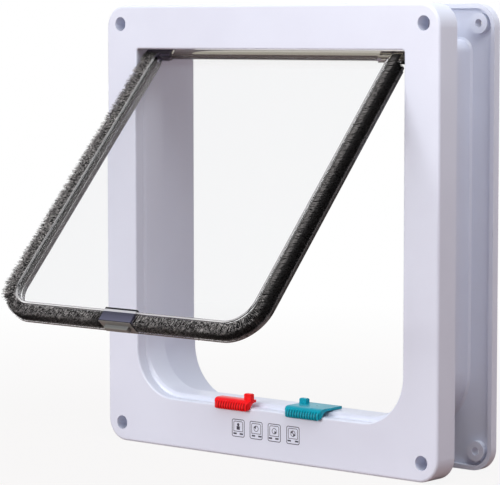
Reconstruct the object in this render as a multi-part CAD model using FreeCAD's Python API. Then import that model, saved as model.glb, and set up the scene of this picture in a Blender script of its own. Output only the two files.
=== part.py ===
import FreeCAD, Part
import math
import os
from FreeCAD import Vector

# Four-way locking cat flap, in millimetres.
# X runs across the door, +Y through the door from the room, +Z up.
# The origin is the middle of the four screw holes, on the plane where the front frame meets the door.

# Outline that the front and the rear frame share
frame_width = 236.0
frame_height = 251.0
frame_corner_radius = 12.5

# Front frame: a face with a skirt that stands on the door
front_depth = 15.3
face_wall = 2.5
skirt_wall = 2.2
face_edge_round = 1.6

# Opening in the front frame, set by the width of the border round it
side_border = 23.0
top_border = 24.5
bottom_border = 28.0
opening_lower_radius = 27.0
opening_upper_radius = 1.5
lip_round = 1.0

# The lip runs straight in, then the tunnel steps in at the sides and up at the sill
lip_depth = 6.2
side_step = 1.0
sill_step = 2.7
step_run = 4.6

# Front sleeve behind the opening, with a cored box under the sill
front_sleeve_length = 22.0
front_sleeve_wall = 2.5
sill_box_depth = 5.2
sill_box_wall = 2.0

# Rear frame: a tray-backed flange with the sleeve that slides over the front one
door_gap = 33.7
rear_thickness = 6.0
rear_floor = 2.5
rear_rim = 2.5
rear_edge_chamfer = 1.2
rear_mouth_chamfer = 1.5
rear_root_chamfer = 1.2
rear_sleeve_wall = 2.2
sleeve_clearance = 0.8
guide_gap = 0.3
guide_width = 2.0
sleeve_lap = 13.7
sleeve_travel_in = 4.0
sleeve_lead = 0.6

# Screw holes in the corners of both frames
screw_inset = 10.5
screw_bore = 4.5
counterbore = 8.0
counterbore_depth = 9.0
boss_diameter = 11.0

# Stiffening ribs behind the front face
rib_thickness = 1.6
rib_height = 9.5
ribs_each_side = 5
ribs_top_and_bottom = 4
rib_clearance = 0.6

# Hinge: a clear bar along the top of the flap turns on two short pins
hinge_setback = 8.8
bar_diameter = 4.8
bar_drop = 1.9
bar_top_gap = 0.3
bar_end_gap = 0.7
pin_diameter = 2.6
pin_length = 23.5
pin_running_gap = 0.06
knuckle_length = 19.5
knuckle_drop = 5.6
knuckle_round = 2.2

# Flap: a thin panel with a rim wall that stands out on both faces, and a flange behind the pile
open_angle = 42.0
flap_side_gap = 4.0
flap_corner_radius = 15.0
panel_thickness = 2.4
rim_depth = 8.2
rim_wall = 1.7
rim_start = 8.0
rim_edge_chamfer = 0.35
flange_width = 6.3
flange_thickness = 1.2

# Pile strips bonded into the corner between the rim wall and the flange
pile_height = 5.9
pile_setback = 0.6
pile_start = 5.8
pile_bond = 0.05
pile_seam_rise = 7.5

# Magnet clip that snaps over the bottom rim in the middle
clip_width = 22.0
clip_skin = 0.6
clip_hook_rise = 1.0
clip_hook_reach = 2.8
clip_fit = 0.05
clip_round = 0.5
tongue_width = 16.6
tongue_thickness = 3.0
tongue_clearance = 1.95
flap_magnet_width = 14.0
flap_magnet_height = 4.0
flap_magnet_depth = 5.0

# Magnet under the sill, closed by a cover pressed into the same pocket
sill_magnet_width = 18.0
sill_magnet_depth = 8.0
sill_magnet_height = 3.0
sill_skin = 1.2
sill_cover_height = 1.0
magnet_fit = 0.1
magnet_holder_wall = 2.0

# Lock sliders on the sill: a ribbed grip that curves over the lip, a plate behind it and a peg on the plate
slider_gap = 0.3
slider_length = 25.0
plate_thickness = 1.4
plate_behind_foot = 0.8
grip_drop = 1.8
grip_thickness = 2.6
grip_nose_radius = 4.6
grip_tuck = 0.9
grip_rib_width = 0.9
grip_rib_height = 0.4
grip_ribs = 11
grip_end_round = 2.4
peg_width = 4.8
peg_depth = 3.0
red_peg_height = 3.6
teal_peg_height = 2.8
peg_chamfer = 0.5
peg_clearance = 0.5
peg_stand_off = 0.8
foot_length = 4.0
foot_thickness = 1.6
toe_reach = 1.0
toe_height = 1.2
foot_clearance = 0.25
lock_stop = 2.0
slider_stroke = 14.0
red_slider_rest = 10.0
teal_slider_rest = lock_stop + slider_stroke

# Places that follow from the sizes above
half_width = frame_width / 2
frame_top = frame_height / 2
frame_bottom = -frame_height / 2
front_face = -front_depth
rear_face = door_gap + rear_thickness
opening_half = half_width - side_border
opening_bottom = frame_bottom + bottom_border
opening_top = frame_top - top_border
opening_height = opening_top - opening_bottom
tunnel_half = opening_half - side_step
sill_top = opening_bottom + sill_step
magnet_ceiling = opening_bottom - sill_skin
step_start = front_face + lip_depth
step_end = step_start + step_run
sleeve_end = front_face + front_sleeve_length
sleeve_half = opening_half + front_sleeve_wall
sleeve_top = opening_top + front_sleeve_wall
sleeve_bottom = opening_bottom - sill_box_depth
sleeve_lower_radius = opening_lower_radius + front_sleeve_wall
sleeve_upper_radius = opening_upper_radius + front_sleeve_wall
rear_bore_half = sleeve_half + sleeve_clearance
rear_bore_top = sleeve_top + sleeve_clearance
rear_bore_bottom = sleeve_bottom - sleeve_clearance
rear_bore_lower_radius = sleeve_lower_radius + sleeve_clearance
rear_bore_upper_radius = sleeve_upper_radius + sleeve_clearance
rear_sleeve_front = sleeve_end - sleeve_lap
screw_x = half_width - screw_inset
screw_z = frame_top - screw_inset

hinge_y = front_face + hinge_setback
hinge_z = opening_top - bar_top_gap - bar_diameter / 2
bar_half = tunnel_half - bar_end_gap
pin_outer_end = sleeve_half - pin_running_gap
pin_inner_end = pin_outer_end - pin_length

plate_under = sill_top + slider_gap
plate_top = plate_under + plate_thickness
high_peg_top = plate_top + red_peg_height
flange_half = tunnel_half - flap_side_gap
rim_half = flange_half - flange_width
flange_reach = hinge_z - high_peg_top - peg_clearance
rim_reach = flange_reach - flange_width
tongue_reach = hinge_z - plate_top - tongue_clearance
rim_back = rim_depth / 2
flange_front = rim_back - flange_thickness
pile_front = pile_setback - rim_back
clip_back = rim_back + clip_skin
pile_seam = pile_seam_rise - rim_reach
foot_front = front_face + face_wall + foot_clearance
foot_back = foot_front + foot_thickness


# Closed outline in the XZ plane: straight sides, one radius for the lower and one for the upper corners
def outline(half, low, high, low_radius, high_radius, y):
    def corner(cx, cz, radius, start):
        a0, a1, a2 = (math.radians(start + turn) for turn in (0, 45, 90))
        points = [Vector(cx + radius * math.cos(a), y, cz + radius * math.sin(a)) for a in (a0, a1, a2)]
        return Part.Arc(*points).toShape()

    lo, hi = low_radius, high_radius
    edges = [
        Part.makeLine(Vector(lo - half, y, low), Vector(half - lo, y, low)),
        corner(half - lo, low + lo, lo, 270),
        Part.makeLine(Vector(half, y, low + lo), Vector(half, y, high - hi)),
        corner(half - hi, high - hi, hi, 0),
        Part.makeLine(Vector(half - hi, y, high), Vector(hi - half, y, high)),
        corner(hi - half, high - hi, hi, 90),
        Part.makeLine(Vector(-half, y, high - hi), Vector(-half, y, low + lo)),
        corner(lo - half, low + lo, lo, 180),
    ]
    return Part.Wire(edges)


# The same outline carried from one Y to another
def prism(half, low, high, low_radius, high_radius, y_from, y_to):
    face = Part.Face(outline(half, low, high, low_radius, high_radius, y_from))
    return face.extrude(Vector(0, y_to - y_from, 0))


def block(x_from, x_to, y_from, y_to, z_from, z_to):
    return Part.makeBox(x_to - x_from, y_to - y_from, z_to - z_from, Vector(x_from, y_from, z_from))


def rod(diameter, start, end):
    direction = end - start
    return Part.makeCylinder(diameter / 2, direction.Length, start, direction)


# Edges of a shape that lie in one plane of constant Y, and no further out than a half width
def edges_at_y(shape, y, half):
    found = []
    for edge in shape.Edges:
        box = edge.BoundBox
        flat = abs(box.YMin - y) < 1e-4 and abs(box.YMax - y) < 1e-4
        if flat and max(-box.XMin, box.XMax) < half + 1e-4:
            found.append(edge)
    return found


def frame_outline_prism(y_from, y_to, inset):
    radius = frame_corner_radius - inset
    return prism(half_width - inset, frame_bottom + inset, frame_top - inset, radius, radius, y_from, y_to)


def screw_places():
    return [(sx * screw_x, sz * screw_z) for sx in (-1, 1) for sz in (-1, 1)]


# Tunnel through the front frame: the lip, a step in three slopes and the straight run behind it
def front_tunnel():
    cut = prism(opening_half, opening_bottom, opening_top, opening_lower_radius, opening_upper_radius,
                front_face - 1, step_start)
    sections = []
    for run, rise in ((0.0, 0.0), (0.12, 0.45), (0.4, 0.85), (1.0, 1.0)):
        sections.append(outline(opening_half - rise * side_step, opening_bottom + rise * sill_step, opening_top,
                                opening_lower_radius, opening_upper_radius, step_start + run * step_run))
    step = Part.makeLoft(sections, True, True)
    behind = prism(tunnel_half, sill_top, opening_top, opening_lower_radius, opening_upper_radius,
                   step_end, sleeve_end + 1)
    return cut.fuse([step, behind])


def front_sleeve():
    return prism(sleeve_half, sleeve_bottom, sleeve_top, sleeve_lower_radius, sleeve_upper_radius,
                 front_face + face_wall / 2, sleeve_end)


# Room that the sliding rear sleeve needs behind the face
def rear_sleeve_room():
    grow = rib_clearance
    front = rear_sleeve_front - sleeve_travel_in - grow
    outside = rear_sleeve_wall + grow
    outer = prism(rear_bore_half + outside, rear_bore_bottom - outside, rear_bore_top + outside,
                  rear_bore_lower_radius + outside, rear_bore_upper_radius + outside, front, 1)
    inner = prism(sleeve_half, sleeve_bottom, sleeve_top, sleeve_lower_radius, sleeve_upper_radius,
                  front - 1, 2)
    return outer.cut(inner)


# Ribs that tie the skirt, the face and the sleeve together
def face_ribs():
    back = front_face + face_wall
    y_to = back + rib_height
    skirt_x = half_width - skirt_wall / 2
    ribs = []
    span = opening_height - opening_lower_radius
    for i in range(ribs_each_side):
        z = opening_top - span * (i + 0.5) / ribs_each_side
        for side in (-1, 1):
            x_near, x_far = sorted((side * (sleeve_half - 1), side * skirt_x))
            ribs.append(block(x_near, x_far, back - 1, y_to, z - rib_thickness / 2, z + rib_thickness / 2))
    straight = 2 * (opening_half - opening_lower_radius)
    for i in range(ribs_top_and_bottom):
        x = straight * ((i + 0.5) / ribs_top_and_bottom - 0.5)
        half = rib_thickness / 2
        ribs.append(block(x - half, x + half, back - 1, y_to, sleeve_top - 1, frame_top - skirt_wall / 2))
        ribs.append(block(x - half, x + half, back - 1, y_to, frame_bottom + skirt_wall / 2, sleeve_bottom + 1))
    return ribs


# Low ribs on the front sleeve that the rear sleeve slides on
def sleeve_guides():
    height = sleeve_clearance - guide_gap
    y_from = front_face + face_wall
    guides = []
    for z in (opening_top - opening_height * 0.2, opening_top - opening_height * 0.7):
        for side in (-1, 1):
            x_near, x_far = sorted((side * (sleeve_half - 1), side * (sleeve_half + height)))
            guides.append(block(x_near, x_far, y_from, sleeve_end, z - guide_width / 2, z + guide_width / 2))
    for side in (-1, 1):
        x = side * opening_half * 0.5
        guides.append(block(x - guide_width / 2, x + guide_width / 2, y_from, sleeve_end,
                            sleeve_top - 1, sleeve_top + height))
        guides.append(block(x - guide_width / 2, x + guide_width / 2, y_from, sleeve_end,
                            sleeve_bottom - height, sleeve_bottom + 1))
    return guides


# Hollow under the sill, left open below, with the block that holds the magnet kept in the middle
def sill_coring():
    reach = sleeve_half - sleeve_lower_radius
    holder = sill_magnet_width / 2 + magnet_fit + magnet_holder_wall
    y_front = front_face + face_wall
    y_back = sleeve_end - sill_box_wall
    low = sleeve_bottom - 1
    cores = []
    for side in (-1, 1):
        x_near, x_far = sorted((side * holder, side * reach))
        cores.append(block(x_near, x_far, y_front, y_back, low, opening_bottom - sill_box_wall))
        cores.append(block(x_near, x_far, step_end, y_back, low, sill_top - sill_box_wall))
    return cores


def sill_magnet_pocket():
    half_x = sill_magnet_width / 2 + magnet_fit
    half_y = sill_magnet_depth / 2 + magnet_fit
    return block(-half_x, half_x, hinge_y - half_y, hinge_y + half_y, sleeve_bottom - 1, magnet_ceiling)


# Slot that lets a slider's foot run from its parked to its locked place. The foot is set back by the
# stroke, so a parked slider covers its slot.
def foot_slot(side):
    near = lock_stop + slider_stroke - foot_clearance
    far = near + foot_length + slider_stroke + 2 * foot_clearance
    x_from, x_to = sorted((side * near, side * far))
    return block(x_from, x_to, foot_front - foot_clearance, foot_back + foot_clearance, sleeve_bottom - 1, sill_top)


def hinge_bore(side):
    start = Vector(side * (tunnel_half - 1), hinge_y, hinge_z)
    return rod(pin_diameter, start, Vector(side * (sleeve_half + 1), hinge_y, hinge_z))


def screw_boss(x, z):
    return rod(boss_diameter, Vector(x, front_face + face_wall / 2, z), Vector(x, 0, z))


def screw_hole(x, z):
    through = rod(screw_bore, Vector(x, front_face - 1, z), Vector(x, 1, z))
    return through.fuse(rod(counterbore, Vector(x, front_face - 1, z), Vector(x, front_face + counterbore_depth, z)))


def front_frame():
    shell = frame_outline_prism(front_face, 0, 0)
    shell = shell.makeFillet(face_edge_round, edges_at_y(shell, front_face, half_width))
    shell = shell.cut(frame_outline_prism(front_face + face_wall, 1, skirt_wall))
    ribs = Part.makeCompound(face_ribs()).cut(rear_sleeve_room())
    shell = shell.fuse([front_sleeve()] + ribs.Solids + sleeve_guides())
    shell = shell.fuse([screw_boss(x, z) for x, z in screw_places()])
    shell = shell.cut(front_tunnel())
    shell = shell.removeSplitter()
    shell = shell.makeFillet(lip_round, edges_at_y(shell, front_face, opening_half))
    cuts = sill_coring() + [sill_magnet_pocket()]
    cuts += [foot_slot(side) for side in (-1, 1)]
    cuts += [hinge_bore(side) for side in (-1, 1)]
    cuts += [screw_hole(x, z) for x, z in screw_places()]
    for cut in cuts:
        shell = shell.cut(cut)
    return shell.removeSplitter()


def rear_bore(y_from, y_to, grow):
    return prism(rear_bore_half + grow, rear_bore_bottom - grow, rear_bore_top + grow,
                 rear_bore_lower_radius + grow, rear_bore_upper_radius + grow, y_from, y_to)


def rear_frame():
    shell = frame_outline_prism(door_gap, rear_face, 0)
    shell = shell.makeChamfer(rear_edge_chamfer, edges_at_y(shell, rear_face, half_width))
    shell = shell.cut(frame_outline_prism(door_gap - 1, rear_face - rear_floor, rear_rim))
    shell = shell.fuse(rear_bore(rear_sleeve_front, rear_face, rear_sleeve_wall))
    for x, z in screw_places():
        shell = shell.fuse(rod(boss_diameter, Vector(x, door_gap, z), Vector(x, rear_face - rear_floor / 2, z)))
    sleeve_outside = rear_bore_half + rear_sleeve_wall
    shell = shell.makeChamfer(rear_root_chamfer, edges_at_y(shell, rear_face - rear_floor, sleeve_outside))
    shell = shell.cut(rear_bore(rear_sleeve_front - 1, rear_face + 1, 0)).removeSplitter()
    shell = shell.makeChamfer(rear_mouth_chamfer, edges_at_y(shell, rear_face, rear_bore_half))
    shell = shell.makeChamfer(sleeve_lead, edges_at_y(shell, rear_sleeve_front, rear_bore_half))
    for x, z in screw_places():
        shell = shell.cut(rod(screw_bore, Vector(x, door_gap - 1, z), Vector(x, rear_face + 1, z)))
    return shell


# The flap's pieces are made hanging closed with the hinge axis on the X axis, then swung to the open pose
def swing_open(shape):
    placed = shape.copy()
    placed.rotate(Vector(0, 0, 0), Vector(1, 0, 0), -open_angle)
    placed.translate(Vector(0, hinge_y, hinge_z))
    return placed


# U-shaped band round the sides and the bottom of the flap
def flap_band(inner_half, inner_reach, width, top, y_from, y_to):
    inner_radius = max(flap_corner_radius + inner_half - rim_half, 1.0)
    outer = prism(inner_half + width, -inner_reach - width, -top, inner_radius + width, 0.5, y_from, y_to)
    inner = prism(inner_half, -inner_reach, -top + 20, inner_radius, 0.5, y_from - 1, y_to + 1)
    return outer.cut(inner)


# Takes the upper ends of the rim wall down to the thickness of the hinge bar
def rim_taper(side):
    bar_edge = side * bar_diameter / 2
    out = side * (rim_back + 1)
    corners = [(bar_edge, 1), (bar_edge, -bar_diameter / 4), (side * rim_back, -rim_start), (out, -rim_start), (out, 1)]
    points = [Vector(-flange_half, y, z) for y, z in corners]
    wire = Part.makePolygon(points + points[:1])
    return Part.Face(wire).extrude(Vector(2 * flange_half, 0, 0))


# The end of the bar is deeper where the pin runs in it
def hinge_knuckle(side):
    x_from, x_to = sorted((side * (bar_half - knuckle_length), side * bar_half))
    half = bar_diameter / 2
    knuckle = block(x_from, x_to, -half, half, -knuckle_drop, 0)
    low = [edge for edge in knuckle.Edges if edge.BoundBox.ZMax < -knuckle_drop + 1e-4]
    return knuckle.makeFillet(knuckle_round, [edge for edge in low if edge.BoundBox.XLength > 1])


# A rounded bar, taller than it is deep
def hinge_bar():
    half = bar_diameter / 2
    upper = rod(bar_diameter, Vector(-bar_half, 0, 0), Vector(bar_half, 0, 0))
    lower = upper.translated(Vector(0, 0, -bar_drop))
    middle = block(-bar_half, bar_half, -half, half, -bar_drop, 0)
    return upper.fuse([middle, lower]).removeSplitter()


def flap_panel():
    half_panel = panel_thickness / 2
    inner_half = rim_half - rim_wall
    radius = flap_corner_radius - rim_wall / 2
    panel = prism(rim_half - rim_wall / 2, rim_wall / 2 - rim_reach, 0, radius, 0.5, -half_panel, half_panel)
    rim = flap_band(inner_half, rim_reach - rim_wall, rim_wall, 0, -rim_back, rim_back)
    rim = rim.makeChamfer(rim_edge_chamfer, edges_at_y(rim, -rim_back, rim_half))
    rim = rim.cut(rim_taper(-1)).cut(rim_taper(1))
    flange = flap_band(rim_half - rim_wall / 2, rim_reach - rim_wall / 2, flange_width + rim_wall / 2,
                       rim_start, flange_front, rim_back)
    gap = clip_width / 2 + clip_fit
    flange = flange.cut(block(-gap, gap, flange_front - 1, rim_back + 1, -flange_reach - 1, -rim_reach))
    flap = hinge_bar().fuse([panel, rim, flange, hinge_knuckle(-1), hinge_knuckle(1)])
    bore = pin_diameter + 2 * pin_running_gap
    for side in (-1, 1):
        start = Vector(side * (pin_inner_end - pin_running_gap), 0, 0)
        flap = flap.cut(rod(bore, start, Vector(side * (bar_half + 1), 0, 0)))
    return swing_open(flap.removeSplitter())


# One closed band of pile, cut into two side strips and two strips that go round the lower corners
def pile_strip(side, low, high, near):
    band = flap_band(rim_half + pile_bond, rim_reach + pile_bond, pile_height, pile_start,
                     pile_front, flange_front - pile_bond)
    x_from, x_to = sorted((side * near, side * flange_half))
    return swing_open(band.common(block(x_from, x_to, -rim_back, rim_back, low, high)))


def side_pile(side):
    return pile_strip(side, pile_seam + pile_bond, 0, rim_half - flap_corner_radius)


def bottom_pile(side):
    return pile_strip(side, -flange_reach, pile_seam - pile_bond, clip_width / 2 + clip_fit)


# Clip with two hooks over the rim wall, a pocket for the magnet and a thin tongue below for the locks' pegs
def magnet_clip():
    half = clip_width / 2
    body = block(-half, half, -clip_back, clip_back, -flange_reach, clip_hook_rise - rim_reach + rim_wall)
    body = body.makeFillet(clip_round, [e for e in body.Edges if e.BoundBox.XLength > 1])
    tongue_half = tongue_width / 2
    tongue_y = tongue_thickness / 2
    tongue = block(-tongue_half, tongue_half, -tongue_y, tongue_y, -tongue_reach, -flange_reach + 1)
    tongue = tongue.makeFillet(clip_round, [e for e in tongue.Edges if e.BoundBox.ZMax < 1e-3 - tongue_reach])
    body = body.fuse(tongue)
    rim_low = -rim_reach - clip_fit
    rim_high = rim_wall - rim_reach + clip_fit
    rim_y = rim_back + clip_fit
    body = body.cut(block(-half - 1, half + 1, -rim_y, rim_y, rim_low, rim_high))
    mouth_y = rim_back - clip_hook_reach
    body = body.cut(block(-half - 1, half + 1, -mouth_y, mouth_y, rim_low, 0))
    magnet_x = flap_magnet_width / 2 + clip_fit
    magnet_y = flap_magnet_depth / 2 + clip_fit
    pocket_low = rim_low - flap_magnet_height - clip_fit
    body = body.cut(block(-magnet_x, magnet_x, -magnet_y, magnet_y, pocket_low, rim_low + 1))
    return swing_open(body.removeSplitter())


def flap_magnet():
    half_x = flap_magnet_width / 2
    half_y = flap_magnet_depth / 2
    top = -rim_reach - clip_fit
    return swing_open(block(-half_x, half_x, -half_y, half_y, top - flap_magnet_height, top))


def hinge_pin(side):
    return rod(pin_diameter, Vector(side * pin_inner_end, hinge_y, hinge_z),
               Vector(side * pin_outer_end, hinge_y, hinge_z))


def sill_magnet():
    half_x = sill_magnet_width / 2
    half_y = sill_magnet_depth / 2
    low = magnet_ceiling - sill_magnet_height
    return block(-half_x, half_x, hinge_y - half_y, hinge_y + half_y, low, magnet_ceiling)


def sill_magnet_cover():
    half_x = sill_magnet_width / 2 + magnet_fit
    half_y = sill_magnet_depth / 2 + magnet_fit
    top = magnet_ceiling - sill_magnet_height
    return block(-half_x, half_x, hinge_y - half_y, hinge_y + half_y, top - sill_cover_height, top)


# Side view of a slider, in Y and Z: a plate that curves down over the lip into the grip
def slider_profile(plate_back, x):
    grip_back = front_face - slider_gap
    grip_front = grip_back - grip_thickness
    grip_low = opening_bottom - grip_drop
    lean = math.sqrt(0.5)

    def bend(y, z, radius):
        low = Vector(x, y - radius, z)
        return low, Vector(x, y - radius * lean, z + radius * lean), Vector(x, y, z + radius)

    nose_low, nose_middle, nose_high = bend(grip_front + grip_nose_radius, plate_top - grip_nose_radius,
                                            grip_nose_radius)
    under_radius = plate_under - grip_low
    under_low, under_middle, under_high = bend(grip_back + under_radius, grip_low, under_radius)
    tip = Vector(x, grip_front + grip_tuck, grip_low)
    tuck_middle = Vector(x, grip_front + grip_tuck / 4, (grip_low + nose_low.z) / 2)
    edges = [
        Part.Arc(tip, tuck_middle, nose_low).toShape(),
        Part.Arc(nose_low, nose_middle, nose_high).toShape(),
        Part.makeLine(nose_high, Vector(x, plate_back, plate_top)),
        Part.makeLine(Vector(x, plate_back, plate_top), Vector(x, plate_back, plate_under)),
        Part.makeLine(Vector(x, plate_back, plate_under), under_high),
        Part.Arc(under_high, under_middle, under_low).toShape(),
        Part.makeLine(under_low, tip),
    ]
    return Part.Face(Part.Wire(edges))


# One rib of the grip: the front of the profile moved out, and cut off behind
def grip_rib(x):
    grip_front = front_face - slider_gap - grip_thickness
    face = slider_profile(front_face + 2 * grip_nose_radius, x - grip_rib_width / 2)
    rib = face.extrude(Vector(grip_rib_width, 0, 0))
    rib.translate(Vector(0, -grip_rib_height, 0))
    keep = block(x - grip_rib_width, x + grip_rib_width, grip_front - 1, grip_front + grip_nose_radius / 2,
                 opening_bottom - grip_drop + 0.5, plate_top - grip_nose_radius * 0.3)
    return rib.common(keep)


# Foot through the slot behind the lip, with a toe that hooks under it
def slider_foot(side, rest):
    under = opening_bottom - sill_box_wall - foot_clearance
    start = side * (rest + slider_stroke)
    near, far = sorted((start, start + side * foot_length))
    leg = block(near, far, foot_front, foot_back, under - toe_height, plate_under + plate_thickness / 2)
    toe = block(near, far, foot_back - 0.1, foot_back + foot_clearance + toe_reach, under - toe_height, under)
    return leg.fuse(toe)


# A peg stands on the plate at the end nearer the middle of the sill
def slider_peg(inner_end, side, y_from, height):
    x_from, x_to = sorted((side * inner_end, side * (inner_end + peg_width)))
    top = plate_top + height
    peg = block(x_from, x_to, y_from, y_from + peg_depth, plate_under + plate_thickness / 4, top)
    return peg.makeChamfer(peg_chamfer, [e for e in peg.Edges if e.BoundBox.ZMin > top - 1e-4])


# side is -1 for the slider on the left; rest is where its inner end stands
def lock_slider(side, rest, plate_back, peg_y, peg_height):
    x_from, x_to = sorted((side * rest, side * (rest + slider_length)))
    body = slider_profile(plate_back, x_from).extrude(Vector(x_to - x_from, 0, 0))
    front = front_face - slider_gap - grip_thickness
    room = block(x_from, x_to, front, plate_back, opening_bottom - grip_drop, plate_top)
    ends = [e for e in room.Edges if e.BoundBox.ZLength > 1 and e.BoundBox.YMax < front + 1e-4]
    ends += [e for e in room.Edges if e.BoundBox.YLength > 1 and e.BoundBox.ZMax < opening_bottom]
    body = body.common(room.makeFillet(grip_end_round, ends))
    ribs = []
    for i in range(grip_ribs):
        reach = slider_length - 2 * grip_end_round - 2 * grip_rib_width
        ribs.append(grip_rib((x_from + x_to) / 2 + reach * (i / (grip_ribs - 1) - 0.5)))
    peg = slider_peg(rest, side, peg_y, peg_height)
    return body.fuse(ribs + [slider_foot(side, rest), peg]).removeSplitter()


# The red slider's peg stands in front of the closed flap and stops it opening into the room
def red_slider():
    peg_y = hinge_y - clip_back - peg_stand_off - peg_depth
    plate_back = foot_back + plate_behind_foot
    return lock_slider(-1, red_slider_rest, plate_back, peg_y, red_peg_height)


# The teal slider's plate reaches under the flap, and its peg stops the flap opening outward
def teal_slider():
    peg_y = hinge_y + tongue_thickness / 2 + peg_stand_off
    plate_back = hinge_y + clip_back + peg_stand_off + peg_depth
    return lock_slider(1, teal_slider_rest, plate_back, peg_y, teal_peg_height)


pieces = {
    "front_frame": front_frame(),
    "rear_frame": rear_frame(),
    "flap_panel": flap_panel(),
    "pile_left": side_pile(-1),
    "pile_right": side_pile(1),
    "pile_bottom_left": bottom_pile(-1),
    "pile_bottom_right": bottom_pile(1),
    "magnet_clip": magnet_clip(),
    "flap_magnet": flap_magnet(),
    "hinge_pin_left": hinge_pin(-1),
    "hinge_pin_right": hinge_pin(1),
    "sill_magnet": sill_magnet(),
    "sill_magnet_cover": sill_magnet_cover(),
    "lock_slider_red": red_slider(),
    "lock_slider_teal": teal_slider(),
}

os.makedirs("parts", exist_ok=True)
for name, shape in pieces.items():
    print(name, "solids", len(shape.Solids), "valid", shape.isValid(), "volume", round(shape.Volume, 1))
    shape.exportStep(os.path.join("parts", name + ".step"))
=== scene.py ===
# Cat flap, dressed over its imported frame. Metres, Z up, the room on the -Y side.
import math
import random

import bmesh
import bpy
from mathutils import Matrix, Vector


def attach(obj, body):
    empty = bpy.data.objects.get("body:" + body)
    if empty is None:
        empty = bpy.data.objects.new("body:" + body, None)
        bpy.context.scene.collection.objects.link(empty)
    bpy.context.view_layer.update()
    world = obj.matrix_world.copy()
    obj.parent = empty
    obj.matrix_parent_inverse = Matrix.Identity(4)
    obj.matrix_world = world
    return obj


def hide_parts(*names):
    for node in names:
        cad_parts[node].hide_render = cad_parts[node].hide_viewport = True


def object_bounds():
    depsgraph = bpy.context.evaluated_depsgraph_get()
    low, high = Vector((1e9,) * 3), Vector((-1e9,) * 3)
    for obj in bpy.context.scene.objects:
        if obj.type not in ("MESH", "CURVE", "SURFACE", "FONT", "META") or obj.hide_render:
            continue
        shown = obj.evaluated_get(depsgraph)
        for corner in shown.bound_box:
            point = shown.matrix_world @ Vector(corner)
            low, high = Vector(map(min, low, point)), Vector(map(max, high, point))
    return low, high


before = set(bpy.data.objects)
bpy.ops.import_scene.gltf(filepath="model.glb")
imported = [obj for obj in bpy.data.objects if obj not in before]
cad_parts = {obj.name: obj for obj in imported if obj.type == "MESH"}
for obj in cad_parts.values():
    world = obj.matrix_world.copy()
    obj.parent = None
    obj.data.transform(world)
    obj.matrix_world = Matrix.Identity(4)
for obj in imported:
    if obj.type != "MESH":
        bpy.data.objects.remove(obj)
cadLow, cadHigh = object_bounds()
mm = 0.001
print("frame loaded:", len(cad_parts), "nodes")


# Where the flap turns, and how many degrees the photograph shows it open
hinge = {"y": -6.5 * mm, "z": 98.3 * mm, "open": 42}
openAngle = math.radians(hinge["open"])
# Directions of the open flap: through it, from the hinge to its lower edge, and along the hinge
flapWay = {"depth": (0, math.cos(openAngle), -math.sin(openAngle)),
           "reach": (0, -math.sin(openAngle), -math.cos(openAngle)), "across": (1, 0, 0)}


# Materials

def newMaterial(name, settings):
    material = bpy.data.materials.new(name)
    material.use_nodes = True
    shader = material.node_tree.nodes["Principled BSDF"]
    for socket, value in settings.items():
        shader.inputs[socket].default_value = value
    return material, shader


def addNode(material, kind, settings=None):
    node = material.node_tree.nodes.new(kind)
    for socket, value in (settings or {}).items():
        node.inputs[socket].default_value = value
    return node


def link(material, output, socket):
    material.node_tree.links.new(output, socket)


def surface(material, first, second, factor):
    mix = addNode(material, "ShaderNodeMixShader")
    link(material, factor, mix.inputs[0])
    link(material, first, mix.inputs[1])
    link(material, second, mix.inputs[2])
    output = [node for node in material.node_tree.nodes if node.bl_idname.startswith("ShaderNodeOutput")][0]
    link(material, mix.outputs["Shader"], output.inputs["Surface"])


# Object coordinates, stretched where a finish has a direction
def place(material, stretch=(1, 1, 1)):
    coordinates = addNode(material, "ShaderNodeTexCoord")
    mapping = addNode(material, "ShaderNodeMapping", {"Scale": stretch})
    link(material, coordinates.outputs["Object"], mapping.inputs["Vector"])
    return mapping.outputs["Vector"]


# How far a point lies from the hinge axis along a direction of the open flap.
# Depth is below zero on the side that faces the room.
def onFlap(material, way):
    coordinates = addNode(material, "ShaderNodeTexCoord")
    fromHinge = addNode(material, "ShaderNodeVectorMath", {1: (0, hinge["y"], hinge["z"])})
    fromHinge.operation = "SUBTRACT"
    link(material, coordinates.outputs["Object"], fromHinge.inputs[0])
    distance = addNode(material, "ShaderNodeVectorMath", {1: flapWay[way]})
    distance.operation = "DOT_PRODUCT"
    link(material, fromHinge.outputs["Vector"], distance.inputs[0])
    return distance.outputs["Value"]


def calculate(material, operation, first, second=0.0):
    node = material.node_tree.nodes.new("ShaderNodeMath")
    node.operation = operation
    for socket, value in ((0, first), (1, second)):
        if isinstance(value, float):
            node.inputs[socket].default_value = value
        else:
            link(material, value, node.inputs[socket])
    return node.outputs[0]


def noise(material, vector, scale, detail=3.0):
    texture = addNode(material, "ShaderNodeTexNoise", {"Scale": scale, "Detail": detail})
    link(material, vector, texture.inputs["Vector"])
    return texture.outputs["Fac"]


# Carries a pattern from one range of values to another
def ranged(material, value, fromLow, fromHigh, toLow, toHigh):
    node = addNode(material, "ShaderNodeMapRange",
                   {"From Min": fromLow, "From Max": fromHigh, "To Min": toLow, "To Max": toHigh})
    link(material, value, node.inputs["Value"])
    return node.outputs["Result"]


def blendColours(material, factor, first, second):
    node = material.node_tree.nodes.new("ShaderNodeMix")
    node.data_type = "RGBA"
    for socket, colour in ((6, first), (7, second)):
        if isinstance(colour, tuple):
            node.inputs[socket].default_value = (*colour, 1)
        else:
            link(material, colour, node.inputs[socket])
    link(material, factor, node.inputs[0])
    return node.outputs[2]


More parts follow.
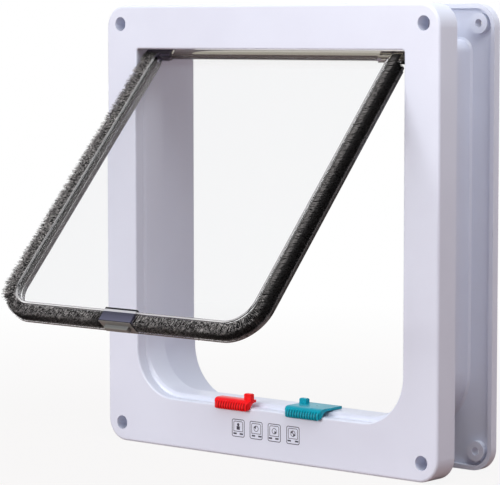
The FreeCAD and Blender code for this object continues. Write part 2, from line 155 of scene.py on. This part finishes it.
# Colours or greys that follow one another along a distance, each from its own mark in millimetres
def bands(material, distance, stops):
    ramp = material.node_tree.nodes.new("ShaderNodeValToRGB")
    first, last = stops[0][0], stops[-1][0]
    elements = ramp.color_ramp.elements
    while len(elements) < len(stops):
        elements.new(0.5)
    for element, (mark, colour) in zip(elements, stops):
        element.position = (mark - first) / (last - first)
        element.color = (*(colour if isinstance(colour, tuple) else (colour,) * 3), 1)
    link(material, ranged(material, distance, first * mm, last * mm, 0, 1), ramp.inputs["Fac"])
    return ramp.outputs["Color"]


def bump(material, shader, height, distance):
    node = addNode(material, "ShaderNodeBump", {"Strength": 1.0, "Distance": distance})
    link(material, height, node.inputs["Height"])
    link(material, node.outputs["Normal"], shader.inputs["Normal"])


# Painted shade in the gaps between the ribs of a grip. Gap edges are shares of the pitch from the rib's middle.
def ribGapShade(material, colour, look):
    split = addNode(material, "ShaderNodeSeparateXYZ")
    link(material, addNode(material, "ShaderNodeTexCoord").outputs["Object"], split.inputs[0])
    fromMiddle = calculate(material, "SUBTRACT", split.outputs["X"], look["middle"])
    steps = calculate(material, "DIVIDE", fromMiddle, look["pitch"])
    phase = calculate(material, "FRACT", calculate(material, "ADD", steps, look["firstRib"]))
    off = calculate(material, "ABSOLUTE", calculate(material, "SUBTRACT", phase, 0.5))
    gap = calculate(material, "MULTIPLY", ranged(material, off, *look["gapEdge"], 0, 1),
                    ranged(material, split.outputs["Y"], *look["front"], 1, 0))
    gap = calculate(material, "MULTIPLY", gap, ranged(material, split.outputs["Z"], *look["top"], 1, 0))
    return blendColours(material, gap, colour, look["gap"])


# Satin moulded plastic: faint flow clouds in the colour, a patchy gloss and a fine spark texture
def mouldedPlastic(name, look):
    material, shader = newMaterial(name, {"IOR": 1.5, "Coat Weight": look["coat"], "Coat Roughness": 0.12,
                                          "Specular IOR Level": look["shine"]})
    vector = place(material)
    clouds = noise(material, vector, look["clouds"], 4)
    colour = blendColours(material, ranged(material, clouds, 0.35, 0.65, 0, 1), look["colour"], look["cloud"])
    # Painted shade between the ribs of a lock's grip
    if "middle" in look:
        colour = ribGapShade(material, colour, look)
    link(material, colour, shader.inputs["Base Color"])
    patches = noise(material, vector, look["patches"], 5)
    link(material, ranged(material, patches, 0.3, 0.7, *look["gloss"]), shader.inputs["Roughness"])
    bump(material, shader, noise(material, vector, look["grain"], 2), look["grainHeight"])
    return material


mouldLook = {"clouds": 26, "patches": 90, "grainHeight": 0.012 * mm}
whiteLook = {**mouldLook, "colour": (0.73, 0.77, 0.88), "cloud": (0.71, 0.745, 0.855), "coat": 0.1, "shine": 0.5,
             "gloss": (0.30, 0.39), "grain": 1900}
lockLook = {**mouldLook, "coat": 0.0, "shine": 0.22, "gloss": (0.26, 0.35), "grain": 2600,
            "pitch": 1.84 * mm, "firstRib": 20.5, "gapEdge": (0.22, 0.3),
            "front": (-17.6 * mm, -16.9 * mm), "top": (-94.8 * mm, -94.2 * mm)}
# Each lock: its colour, its cloud tone and the painted shade in its rib gaps
redLook = {**lockLook, "colour": (0.95, 0.006, 0.009), "cloud": (0.84, 0.004, 0.007), "gap": (0.42, 0.002, 0.003),
           "middle": -22.5 * mm}
tealLook = {**lockLook, "colour": (0.0, 0.35, 0.46), "cloud": (0.0, 0.31, 0.41), "gap": (0.0, 0.15, 0.2),
            "middle": 28.5 * mm}
whitePlastic = mouldedPlastic("whitePlastic", whiteLook)
redPlastic = mouldedPlastic("redPlastic", redLook)
tealPlastic = mouldedPlastic("tealPlastic", tealLook)


# Clear or smoked plastic: bends the view, and lets lamp light through to what stands behind
def seeThroughPlastic(name, look):
    material, shader = newMaterial(name, {"IOR": look["ior"], "Transmission Weight": look["clear"]})
    vector = place(material)
    smears = noise(material, vector, look["smears"], 4)
    link(material, ranged(material, smears, 0.35, 0.7, *look["gloss"]), shader.inputs["Roughness"])
    bump(material, shader, noise(material, vector, look["ripples"], 2), look["rippleHeight"])
    letThrough = addNode(material, "ShaderNodeBsdfTransparent", {"Color": (*look["shade"], 1)})
    rays = addNode(material, "ShaderNodeLightPath")
    passing = calculate(material, "MAXIMUM", rays.outputs["Is Shadow Ray"], rays.outputs["Is Diffuse Ray"])
    surface(material, shader.outputs["BSDF"], letThrough.outputs["BSDF"], passing)
    return material, shader


# Smoked clip: the colour changes with the reach, from its back edge over its slope to its foot: a painted dark line at
# the back edge, a painted highlight band along the top, painted dark shade at the foot's edge and a paler foot painted
# as lit from below
def smokedMaterial(look):
    material, shader = seeThroughPlastic("smokedPlastic", look)
    link(material, bands(material, onFlap(material, "reach"), look["byReach"]), shader.inputs["Base Color"])
    return material


# Clear flap. The rim's front edge is left satin by the mould, so it takes the light. The thick bar shows a brown-grey
# tint, darkened towards its lower edge as painted shade, the left knuckle is painted dark as shade, and painted dark
# lines run where the rim's inner corners, the inside of the bottom rim and the flange's edge bend the view.
def clearMaterial(look):
    material, shader = seeThroughPlastic("clearPlastic", look)
    depth, reach, across = [onFlap(material, way) for way in ("depth", "reach", "across")]
    seeThrough = ranged(material, depth, *look["edge"], 1 - look["edgeFrost"], 1)
    link(material, seeThrough, shader.inputs["Transmission Weight"])
    # Painted shade: the left knuckle is darkened
    knuckle = calculate(material, "MULTIPLY", ranged(material, across, *look["knuckleEnd"], 1, 0),
                        ranged(material, reach, *look["knuckle"], 1, 0))
    colour = blendColours(material, knuckle, bands(material, reach, look["byReach"]), look["leftKnuckleShade"])
    colour = blendColours(material, ranged(material, depth, *look["edge"], 0, 1), look["edgeColour"], colour)
    # Painted dark lines where the rim's inner corners and the flange's outer edge bend the view
    leftLine = calculate(material, "MAXIMUM", bands(material, across, look["leftLine"]),
                         ranged(material, depth, *look["leftFront"], 0, 1))
    lines = calculate(material, "MULTIPLY", leftLine, bands(material, across, look["rightLines"]))
    link(material, blendColours(material, lines, (0, 0, 0), colour), shader.inputs["Base Color"])
    return material


clear = (0.985, 0.987, 0.987)
rimShade = (0.03, 0.03, 0.03)
clearLook = {
    "ior": 1.52, "clear": 1.0, "smears": 140, "gloss": (0.0, 0.03), "ripples": 40, "rippleHeight": 0.002 * mm,
    "shade": (0.93, 0.93, 0.93), "edge": (-4.15 * mm, -3.95 * mm), "edgeFrost": 0.6, "edgeColour": (0.66, 0.65, 0.64),
    # Painted shade on the left knuckle only
    "knuckle": (5.6 * mm, 6.2 * mm), "knuckleEnd": (-74.2 * mm, -73.8 * mm), "leftKnuckleShade": (0.13, 0.12, 0.16),
    # By reach: clear at the bar's top, its brown-grey tint darkening towards its lower edge as painted shade, then
    # clear, then painted dark shade inside the bottom rim
    "byReach": [(-2.4, (0.95, 0.95, 0.93)), (-1.7, (0.93, 0.93, 0.9)), (-1.1, (0.42, 0.4, 0.34)),
                (4.2, (0.2, 0.18, 0.145)), (4.7, clear), (178.9, clear), (179.1, rimShade), (179.75, rimShade),
                (179.95, clear)],
    # Painted dark lines along the rim's inner corners and the flange's outer edge
    "leftFront": (-3.1 * mm, -2.7 * mm),
    "leftLine": [(-100, 1), (-82.85, 1), (-82.75, 0.03), (-81.9, 0.03), (-81.8, 1), (100, 1)],
    "rightLines": [(-100, 1), (81.9, 1), (82.0, 0.05), (82.6, 0.05), (82.8, 1), (89.2, 1), (89.4, 0.05), (100, 0.05)],
}
# Painted light on the clip: shade at the back edge and the foot's edge, a highlight on the top, a paler foot
clipBackShade = (0.004, 0.004, 0.006)
clipTopHighlight = (0.62, 0.62, 0.64)
clipEdgeShade = (0.01, 0.01, 0.014)
clipFootLight = (0.27, 0.28, 0.26)
smokedLook = {
    "ior": 1.5, "clear": 0.35, "smears": 140, "gloss": (0.1, 0.13), "ripples": 40, "rippleHeight": 0.01 * mm,
    "shade": (0.3, 0.3, 0.32),
    "byReach": [(178.0, clipBackShade), (179.5, clipBackShade), (179.75, clipTopHighlight), (180.9, clipTopHighlight),
                (181.15, (0.05, 0.05, 0.08)), (186.6, (0.12, 0.12, 0.18)), (186.75, clipEdgeShade), (187.0, clipEdgeShade),
                (187.15, clipFootLight), (190.0, clipFootLight)],
}
clearPlastic = clearMaterial(clearLook)
smokedPlastic = smokedMaterial(smokedLook)


# Pile: tufts of their own grey. The side that faces the room is painted lighter, as light on the fibres' sides, and
# behind it near black as painted shade. The right strip has a finer, plainer grain than the others, and the tips at the
# bottom are painted lighter, as light from below.
def pileMaterial(look):
    material, shader = newMaterial("pileFibre", {"Roughness": 0.9, "Specular IOR Level": 0.1,
                                                 "Sheen Weight": look["sheen"], "Sheen Roughness": 0.5})
    vector = place(material)
    way = {word: onFlap(material, word) for word in flapWay}
    cells = addNode(material, "ShaderNodeTexVoronoi", {"Scale": look["cells"]})
    link(material, vector, cells.inputs["Vector"])
    speckle = ranged(material, cells.outputs["Color"], 0.32, 0.68, 0.04, 1)
    clumps = ranged(material, noise(material, vector, look["clumps"], 3), 0.38, 0.62, 0.3, 1)
    fine = ranged(material, noise(material, vector, look["fine"], 2), 0.35, 0.65, *look["plain"])
    plain = calculate(material, "MULTIPLY", ranged(material, way["across"], *look["plainAcross"], 0, 1),
                      ranged(material, way["reach"], *look["plainReach"], 1, 0))
    grain = blendColours(material, plain, calculate(material, "MULTIPLY", speckle, clumps), fine)
    # Painted light: the room-facing side lighter, and painted shade behind it
    litFront = ranged(material, way["depth"], *look["litFrontDepth"], 1, look["behind"])
    # Painted light on the tips at the bottom, as from the floor below
    tips = calculate(material, "MULTIPLY", ranged(material, way["reach"], *look["tipReach"], 0, look["tips"]),
                     ranged(material, calculate(material, "ABSOLUTE", way["across"]), *look["tipAcross"], 1, 0))
    shade = calculate(material, "MULTIPLY", grain, calculate(material, "MAXIMUM", litFront, tips))
    # Painted shade bands: near the hinge, at the right strip beside the rim and on its outer side; and darker on the
    # bottom strip just left of the clip
    for word, stops in look["shades"].items():
        shade = calculate(material, "MULTIPLY", shade, bands(material, way[word], stops))
    link(material, blendColours(material, shade, look["dark"], look["light"]), shader.inputs["Base Color"])
    bump(material, shader, noise(material, vector, look["fuzz"], 2), look["fuzzHeight"])
    return material


pileLook = {
    "dark": (0.006, 0.006, 0.006), "light": (0.44, 0.42, 0.405), "sheen": 0.1, "cells": 1250, "clumps": 700,
    # Painted light on the room-facing side of the pile, painted shade behind it
    "fuzz": 3000, "fuzzHeight": 0.2 * mm, "litFrontDepth": (-3.1 * mm, -1.6 * mm), "behind": 0.06,
    # Painted light on the bottom tips
    "tips": 0.55, "tipReach": (183.5 * mm, 186.5 * mm), "tipAcross": (40 * mm, 70 * mm),
    "fine": 1900, "plain": (0.24, 0.5), "plainAcross": (80 * mm, 83 * mm), "plainReach": (150 * mm, 175 * mm),
    # Painted shade near the hinge, beside the rim and on the right strip's outer side; darker just left of the clip
    "shades": {"reach": [(0, 0.2), (4, 0.2), (9, 1), (200, 1)],
               "across": [(-100, 1), (-20, 1), (-17, 0.45), (-12, 0.3), (-11, 1), (83.5, 1), (83.7, 0.1), (84.2, 0.1),
                          (84.6, 1), (87.2, 1), (88.4, 0.05), (100, 0.05)]},
}
pileFibre = pileMaterial(pileLook)


# Foot of the pile as it shows through the clear rim: painted black shade in front, painted lighter grey towards the
# back
def footMaterial(look):
    material, shader = newMaterial("pileFoot", {"Roughness": 0.95, "Specular IOR Level": 0.1})
    backward = ranged(material, onFlap(material, "depth"), *look["depth"], 0, 1)
    patches = ranged(material, noise(material, place(material), look["patches"], 2), 0.3, 0.7, 0.88, 1)
    grey = calculate(material, "MULTIPLY", backward, patches)
    link(material, blendColours(material, grey, look["front"], look["back"]), shader.inputs["Base Color"])
    return material


# Painted shade in front, painted lighter grey towards the back
footLook = {"front": (0.008, 0.008, 0.008), "back": (0.17, 0.165, 0.165), "patches": 120,
            "depth": (-2.9 * mm, 3.2 * mm)}
pileFoot = footMaterial(footLook)


# Metal with fine lines along X, as drawn wire has
def metalMaterial(name, look):
    material, shader = newMaterial(name, {"Metallic": 1.0, "Base Color": (*look["colour"], 1)})
    lines = noise(material, place(material, look["lines"]), 1, 3)
    link(material, ranged(material, lines, 0.3, 0.7, *look["gloss"]), shader.inputs["Roughness"])
    bump(material, shader, lines, look["lineHeight"])
    return material


metalLook = {"lines": (40, 1400, 1400), "lineHeight": 0.01 * mm}
pinSteel = metalMaterial("pinSteel", {**metalLook, "colour": (0.62, 0.6, 0.57), "gloss": (0.34, 0.52)})
magnetPlate = metalMaterial("magnetPlate", {**metalLook, "colour": (0.5, 0.5, 0.51), "gloss": (0.28, 0.46)})


def inkMaterial(look):
    material, shader = newMaterial("printedInk", {"IOR": 1.45})
    grain = noise(material, place(material), look["grain"], 3)
    ink = blendColours(material, ranged(material, grain, 0.35, 0.65, 0, 1), look["ink"], look["thin"])
    link(material, ink, shader.inputs["Base Color"])
    link(material, ranged(material, grain, 0.3, 0.7, *look["gloss"]), shader.inputs["Roughness"])
    return material


printedInk = inkMaterial({"ink": (0.03, 0.03, 0.05), "thin": (0.06, 0.06, 0.09), "grain": 2400, "gloss": (0.45, 0.6)})

nodeFinish = {
    "front_frame": whitePlastic, "rear_frame": whitePlastic, "sill_magnet_cover": whitePlastic,
    "flap_panel": clearPlastic, "magnet_clip": smokedPlastic,
    "hinge_pin_left": pinSteel, "hinge_pin_right": pinSteel,
    "flap_magnet": magnetPlate, "sill_magnet": magnetPlate,
    "lock_slider_red": redPlastic, "lock_slider_teal": tealPlastic,
    "pile_left": pileFibre, "pile_right": pileFibre, "pile_bottom_left": pileFibre, "pile_bottom_right": pileFibre,
}
for node, finish in nodeFinish.items():
    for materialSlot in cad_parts[node].material_slots:
        materialSlot.material = finish
print("materials made and put on the frame's nodes")


def pieceFrom(bm, name, material, body):
    mesh = bpy.data.meshes.new(name)
    bm.to_mesh(mesh)
    bm.free()
    piece = bpy.data.objects.new(name, mesh)
    bpy.context.scene.collection.objects.link(piece)
    mesh.materials.append(material)
    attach(piece, body)
    return piece


def grownVerts(grown):
    return [v for v in grown if isinstance(v, bmesh.types.BMVert)]


# Pile strips, in the flap's own plane with the hinge axis at the origin, then swung to the open pose. A strip is a row
# of tufts, each a patch of fibres that overlaps its neighbours, on a dense core. Above the strip's top, beside the
# knuckle, only a thin layer of fibres stands in front.
pile = {
    "rimHalf": 83.75 * mm, "rimReach": 181.05 * mm, "cornerRadius": 15.05 * mm, "cornerSteps": 12,
    "top": 5.9 * mm, "above": 3.2 * mm, "frontLayer": 0.14,
    "seamDrop": 173.5 * mm, "seamGap": 0.3 * mm, "clipHalf": 11.15 * mm, "front": -3.45 * mm, "back": 2.8 * mm,
    "leftHeight": 9.8 * mm, "rightHeight": 6.4 * mm, "bottomHeight": 6.7 * mm, "uneven": 0.2,
    "tuftKinds": 9, "tuftLength": 1.6 * mm, "tuftSpread": 2.7 * mm,
    "fibrePitch": 0.31 * mm, "fibreWidth": 0.34 * mm, "tipWidth": 0.136 * mm, "rowShare": 0.6, "lean": 10,
    "wave": 4.3 * mm, "waveHeight": 0.03, "waveChance": 0.6,
    "core": 4.4 * mm, "coreFront": 0.3 * mm, "backing": 0.5 * mm, "contact": 0.1 * mm,
    # The core also fills the clear flange: a dark block as painted shade for the flange's dark look
    "flangeWidth": 5.7 * mm, "flangeShadeFill": 3.95 * mm,
}
swing = Matrix.Translation((0, hinge["y"], hinge["z"])) @ Matrix.Rotation(-openAngle, 4, "X")
sideRun = pile["rimReach"] - pile["cornerRadius"] - pile["top"]
cornerRun = pile["cornerRadius"] * math.pi / 2
bottomRun = pile["rimHalf"] - pile["cornerRadius"] - pile["clipHalf"]
seamAt = sideRun + pile["cornerRadius"] * math.asin(
    (pile["seamDrop"] - pile["rimReach"] + pile["cornerRadius"]) / pile["cornerRadius"])


# Where the strip's foot is, so far down the side and round the corner: X along it, Z outward
def stripPlace(run, side):
    turn = min(max((run - sideRun) / pile["cornerRadius"], 0), math.pi / 2)
    out = Vector((side * math.cos(turn), 0, -math.sin(turn)))
    middle = Vector((side * (pile["rimHalf"] - pile["cornerRadius"]), 0, pile["cornerRadius"] - pile["rimReach"]))
    foot = middle + out * pile["cornerRadius"]
    foot.z += max(sideRun - run, 0)
    foot.x -= side * max(run - sideRun - cornerRun, 0)
    along = Vector((0, 1, 0)).cross(out)
    return Matrix(((along.x, 0, out.x, foot.x), (0, 1, 0, 0), (along.z, 0, out.z, foot.z), (0, 0, 0, 1)))


def tuftMesh(seed, height):
    chance = random.Random(seed)
    bm = bmesh.new()
    thick = pile["back"] - pile["front"]
    rows = round(thick / pile["fibrePitch"])
    columns = round(pile["tuftLength"] / pile["fibrePitch"])
    for row in range(rows):
        for column in range(columns):
            high = height * (1 - chance.random() * pile["uneven"])
            x = ((column + chance.random()) / columns - 0.5) * pile["tuftSpread"]
            inRow = (1 - pile["rowShare"]) / 2 + pile["rowShare"] * chance.random()
            y = pile["front"] + (row + inRow) / rows * thick
            tilt = [math.radians(chance.uniform(-1, 1) * pile["lean"]) for _ in range(2)]
            stand = (Matrix.Translation((x, y, 0)) @ Matrix.Rotation(tilt[0], 4, "X")
                     @ Matrix.Rotation(tilt[1], 4, "Y") @ Matrix.Translation((0, 0, high / 2)))
            bmesh.ops.create_cone(bm, cap_ends=False, segments=3, radius1=pile["fibreWidth"] / 2,
                                  radius2=pile["tipWidth"] / 2, depth=high, matrix=stand)
    mesh = bpy.data.meshes.new("tuft")
    bm.to_mesh(mesh)
    bm.free()
    return mesh


tufts = {word: [tuftMesh(seed, pile[word + "Height"]) for seed in range(pile["tuftKinds"])]
         for word in ("left", "right", "bottom")}


# Dense foot of the pile and its backing, bonded to the rim and the flange without air between, so that the clear wall
# looks dark where the pile stands behind it. Behind the backing it fills the clear flange as a dark block, painted
# shade for the flange's dark look.
def pileCore(bm, side, start, end):
    corner = [sideRun + cornerRun * i / pile["cornerSteps"] for i in range(pile["cornerSteps"] + 1)]
    stops = [start] + [s for s in corner if start < s < end] + [end]
    low, front, back = -pile["contact"], pile["front"] + pile["coreFront"], pile["back"] - pile["backing"]
    outline = [(front, low), (pile["flangeShadeFill"], low), (pile["flangeShadeFill"], pile["flangeWidth"]),
               (back, pile["flangeWidth"]), (back, pile["core"]), (front, pile["core"])]
    section = bm.faces.new([bm.verts.new(stripPlace(start, side) @ Vector((0, y, z))) for y, z in outline])
    for here, there in zip(stops, stops[1:]):
        grown = bmesh.ops.extrude_face_region(bm, geom=[section])["geom"]
        step = stripPlace(there, side) @ stripPlace(here, side).inverted()
        bmesh.ops.transform(bm, matrix=step, verts=grownVerts(grown))
        section = [f for f in grown if isinstance(f, bmesh.types.BMFace)][0]
    bmesh.ops.recalc_face_normals(bm, faces=bm.faces[:])
    for face in bm.faces:
        face.material_index = 1


def pileStrip(name, side, start, end, seed, kinds):
    chance = random.Random(seed)
    bm = bmesh.new()
    pileCore(bm, side, max(start, 0), end)
    spare = (pile["tuftSpread"] - pile["tuftLength"]) / 2
    start += spare + (pile["seamGap"] if start > 0 and side < 0 else 0)
    end -= spare
    count = round((end - start) / pile["tuftLength"])
    front = Matrix.Translation((0, pile["front"], 0))
    thin = front @ Matrix.Diagonal((1, pile["frontLayer"], 1, 1)) @ front.inverted()
    for i in range(count):
        before = len(bm.verts)
        bm.from_mesh(chance.choice(kinds))
        bm.verts.ensure_lookup_table()
        run = start + (i + 0.5) / count * (end - start)
        ripple = math.sin(2 * math.pi * run / pile["wave"] + seed) + chance.uniform(-1, 1) * pile["waveChance"]
        turned = Matrix.Diagonal((chance.choice((-1, 1)), 1, 1 + pile["waveHeight"] * ripple, 1))
        if run < 0:
            turned = thin @ turned
        bmesh.ops.transform(bm, matrix=stripPlace(run, side) @ turned, verts=bm.verts[before:])
    bmesh.ops.transform(bm, matrix=swing, verts=bm.verts)
    piece = pieceFrom(bm, name, pileFibre, "flap")
    piece.data.materials.append(pileFoot)
    print(name, "triangles", sum(len(p.vertices) - 2 for p in piece.data.polygons))
    return piece


for side, word, seed in ((-1, "left", 11), (1, "right", 12)):
    strip = pileStrip("pileSide_" + word, side, -pile["above"], seamAt, seed, tufts[word])
    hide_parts("pile_" + word)
    strip = pileStrip("pileBottom_" + word, side, seamAt, sideRun + cornerRun + bottomRun, seed + 20, tufts["bottom"])
    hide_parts("pile_bottom_" + word)


# Pictograms under the locks, printed on the face: a rounded frame, a small doorway and the locks' places below it.
# Widths come before heights, and the last number of a group is how far it stands above the middle.
icon = {
    "face": -15.3 * mm, "z": -109.35 * mm, "centres": (-18.8, -5.75, 7.3, 20.6), "thick": 0.04 * mm,
    "width": 9.2 * mm, "height": 10 * mm, "corner": 1.2 * mm, "cornerSteps": 6, "line": 0.4 * mm, "thinLine": 0.32 * mm,
    "door": (6.8 * mm, 5.9 * mm, 0.95 * mm), "doorCorner": 1.1 * mm,
    "block": (2.3 * mm, 2.0 * mm, -0.9 * mm), "knob": (0.85 * mm, 1.0 * mm),
    "ring": 1.7 * mm, "arrow": 1.15 * mm, "arrowAway": 0.75 * mm, "arrowTurn": 0.5,
    "dash": (2.4 * mm, 0.9 * mm, -3.15 * mm), "dashAway": 2.3 * mm, "dashAwayBoth": 2.6 * mm, "dashShift": 0.4 * mm,
}


def plate(bm, width, height, x, y):
    verts = bmesh.ops.create_grid(bm, x_segments=1, y_segments=1, size=0.5)["verts"]
    bmesh.ops.transform(bm, matrix=Matrix.Translation((x, y, 0)) @ Matrix.Diagonal((width, height, 1, 1)), verts=verts)
    return verts


# Turns the face on these corners into a line round its edge, with some of its corners rounded
def ring(bm, verts, line, rounded=(), radius=0.0):
    others = set(bm.faces) - set(verts[0].link_faces)
    if rounded:
        bmesh.ops.bevel(bm, geom=rounded, offset=radius, offset_type="OFFSET", segments=icon["cornerSteps"],
                        profile=0.5, affect="VERTICES", material=-1)
    face = [f for f in bm.faces if f not in others]
    bmesh.ops.inset_region(bm, faces=face, thickness=line, use_even_offset=True, use_boundary=True)
    bmesh.ops.delete(bm, geom=face, context="FACES_ONLY")


def disc(bm, radius, segments, x, y, turn=0.0):
    verts = bmesh.ops.create_circle(bm, cap_ends=True, segments=segments, radius=radius)["verts"]
    bmesh.ops.transform(bm, matrix=Matrix.Translation((x, y, 0)) @ Matrix.Rotation(turn, 4, "Z"), verts=verts)
    return verts


# The sign in the doorway says which way is open: a block for shut, a ring with arrow heads for in, out or both
def doorSign(bm, kind, y):
    if kind == "shut":
        width, height, lift = icon["block"]
        plate(bm, width, height, 0, y + lift)
        radius, lift = icon["knob"]
        disc(bm, radius, 14, 0, y + lift)
        return
    ring(bm, disc(bm, icon["ring"], 20, 0, y), icon["thinLine"])
    for way in {"in": [-1], "out": [1], "both": [-1, 1]}[kind]:
        away = icon["arrowAway"] * way
        disc(bm, icon["arrow"], 3, away, y - away, math.pi / 2 * (1 - way) + icon["arrowTurn"])


def pictogram(number, x, kind):
    bm = bmesh.new()
    outer = plate(bm, icon["width"], icon["height"], 0, 0)
    ring(bm, outer, icon["line"], outer, icon["corner"])
    width, height, lift = icon["door"]
    door = plate(bm, width, height, 0, lift)
    ring(bm, door, icon["thinLine"], [v for v in door if v.co.y > lift], icon["doorCorner"])
    doorSign(bm, kind, lift)
    shift = {"in": icon["dashShift"], "out": -icon["dashShift"]}.get(kind, 0)
    away = icon["dashAwayBoth"] if kind == "both" else icon["dashAway"]
    width, height, lift = icon["dash"]
    for side in (-1, 1):
        plate(bm, width, height, side * away + shift, lift)
    bmesh.ops.dissolve_degenerate(bm, dist=0.001 * mm, edges=bm.edges[:])
    grown = bmesh.ops.extrude_face_region(bm, geom=bm.faces[:])["geom"]
    bmesh.ops.translate(bm, vec=(0, 0, icon["thick"]), verts=grownVerts(grown))
    bmesh.ops.recalc_face_normals(bm, faces=bm.faces[:])
    stand = Matrix.Translation((x * mm, icon["face"], icon["z"])) @ Matrix.Rotation(math.pi / 2, 4, "X")
    bmesh.ops.transform(bm, matrix=stand, verts=bm.verts)
    pieceFrom(bm, "pictogram_" + str(number), printedInk, "front_frame")


for number, (x, kind) in enumerate(zip(icon["centres"], ("shut", "in", "out", "both")), 1):
    pictogram(number, x, kind)
print("pile strips and pictograms made")


# Floor, backdrop and lamps. What the camera sees behind the object is plain white; the light on the object
# comes from the lamps and a dim room, paler above than below.
room = {"floor": (0.36, 0.25, 0.22), "floorHalf": 4, "floorGap": 0.3 * mm,
        "nearWhite": 0.90, "farWhite": 1.0, "near": 0.25, "far": 0.8,
        "above": (0.62, 0.65, 0.74), "below": (0.34, 0.27, 0.25), "strength": 0.72, "paler": (-0.25, 0.8),
        "backdrop": (0.1, 0.45)}


# The floor is lit as paper, and looks whiter to the camera the further it lies from the object
def makeFloor():
    bm = bmesh.new()
    bmesh.ops.create_grid(bm, x_segments=1, y_segments=1, size=room["floorHalf"])
    bmesh.ops.translate(bm, vec=(0, 0, cadLow.z - room["floorGap"]), verts=bm.verts)
    mesh = bpy.data.meshes.new("floor")
    bm.to_mesh(mesh)
    bm.free()
    floor = bpy.data.objects.new("floor", mesh)
    bpy.context.scene.collection.objects.link(floor)
    material, shader = newMaterial("floorPaper", {"Base Color": (*room["floor"], 1), "Roughness": 0.9})
    white = addNode(material, "ShaderNodeEmission", {"Color": (1, 1, 1, 1), "Strength": 1.0})
    rays = addNode(material, "ShaderNodeLightPath")
    seen = calculate(material, "MAXIMUM", rays.outputs["Is Camera Ray"], rays.outputs["Is Transmission Ray"])
    away = addNode(material, "ShaderNodeVectorMath")
    away.operation = "LENGTH"
    link(material, addNode(material, "ShaderNodeTexCoord").outputs["Object"], away.inputs[0])
    whiteness = ranged(material, away.outputs["Value"], room["near"], room["far"], room["nearWhite"], room["farWhite"])
    surface(material, shader.outputs["BSDF"], white.outputs["Emission"],
            calculate(material, "MULTIPLY", seen, whiteness))
    mesh.materials.append(material)


def makeWorld():
    world = bpy.data.worlds.new("studio")
    bpy.context.scene.world = world
    world.use_nodes = True
    lit = world.node_tree.nodes["Background"]
    lit.inputs["Strength"].default_value = room["strength"]
    direction = addNode(world, "ShaderNodeSeparateXYZ")
    link(world, addNode(world, "ShaderNodeTexCoord").outputs["Generated"], direction.inputs[0])
    height = ranged(world, direction.outputs["Z"], *room["paler"], 0, 1)
    link(world, blendColours(world, height, room["below"], room["above"]), lit.inputs["Color"])
    rays = addNode(world, "ShaderNodeLightPath")
    bent = calculate(world, "MAXIMUM", rays.outputs["Is Transmission Ray"], rays.outputs["Is Glossy Ray"])
    behind = calculate(world, "MULTIPLY", bent, ranged(world, direction.outputs["Y"], *room["backdrop"], 0, 1))
    white = addNode(world, "ShaderNodeBackground", {"Color": (1, 1, 1, 1)})
    surface(world, lit.outputs["Background"], white.outputs["Background"],
            calculate(world, "MAXIMUM", rays.outputs["Is Camera Ray"], behind))


lamps = {
    "key": {"at": (-0.8, -2.4, 0.75), "size": 1.4, "power": 45},
    "fill": {"at": (0.42, -0.25, 0.65), "size": 0.45, "power": 3.0},
    "top": {"at": (0.1, 0.3, 2.1), "size": 1.2, "power": 12},
}


def makeLamp(name, lamp):
    light = bpy.data.lights.new(name, "AREA")
    light.size = lamp["size"]
    light.energy = lamp["power"]
    holder = bpy.data.objects.new(name, light)
    bpy.context.scene.collection.objects.link(holder)
    holder.location = lamp["at"]
    holder.rotation_mode = "QUATERNION"
    holder.rotation_quaternion = (-Vector(lamp["at"])).to_track_quat("-Z", "Y")


camera = {"azimuth": 40.179, "elevation": 4.955, "distance": 1.394943, "target": (-26.169 * mm, 9.7 * mm, -11.236 * mm),
          "sensor": 36, "lens": 178.34, "shift": (-0.01418, 0.01275), "near": 0.05}


def makeCamera():
    data = bpy.data.cameras.new("camera")
    data.sensor_width = camera["sensor"]
    data.lens = camera["lens"]
    data.shift_x, data.shift_y = camera["shift"]
    data.clip_start = camera["near"]
    holder = bpy.data.objects.new("camera", data)
    bpy.context.scene.collection.objects.link(holder)
    azimuth, elevation = math.radians(camera["azimuth"]), math.radians(camera["elevation"])
    back = Vector((math.sin(azimuth) * math.cos(elevation), -math.cos(azimuth) * math.cos(elevation),
                   math.sin(elevation)))
    holder.location = Vector(camera["target"]) + back * camera["distance"]
    holder.rotation_mode = "QUATERNION"
    holder.rotation_quaternion = (-back).to_track_quat("-Z", "Y")
    bpy.context.scene.camera = holder


makeFloor()
makeWorld()
for name, lamp in lamps.items():
    makeLamp(name, lamp)
makeCamera()
bpy.context.scene.view_settings.view_transform = "Standard"
print("floor, lamps and camera set")
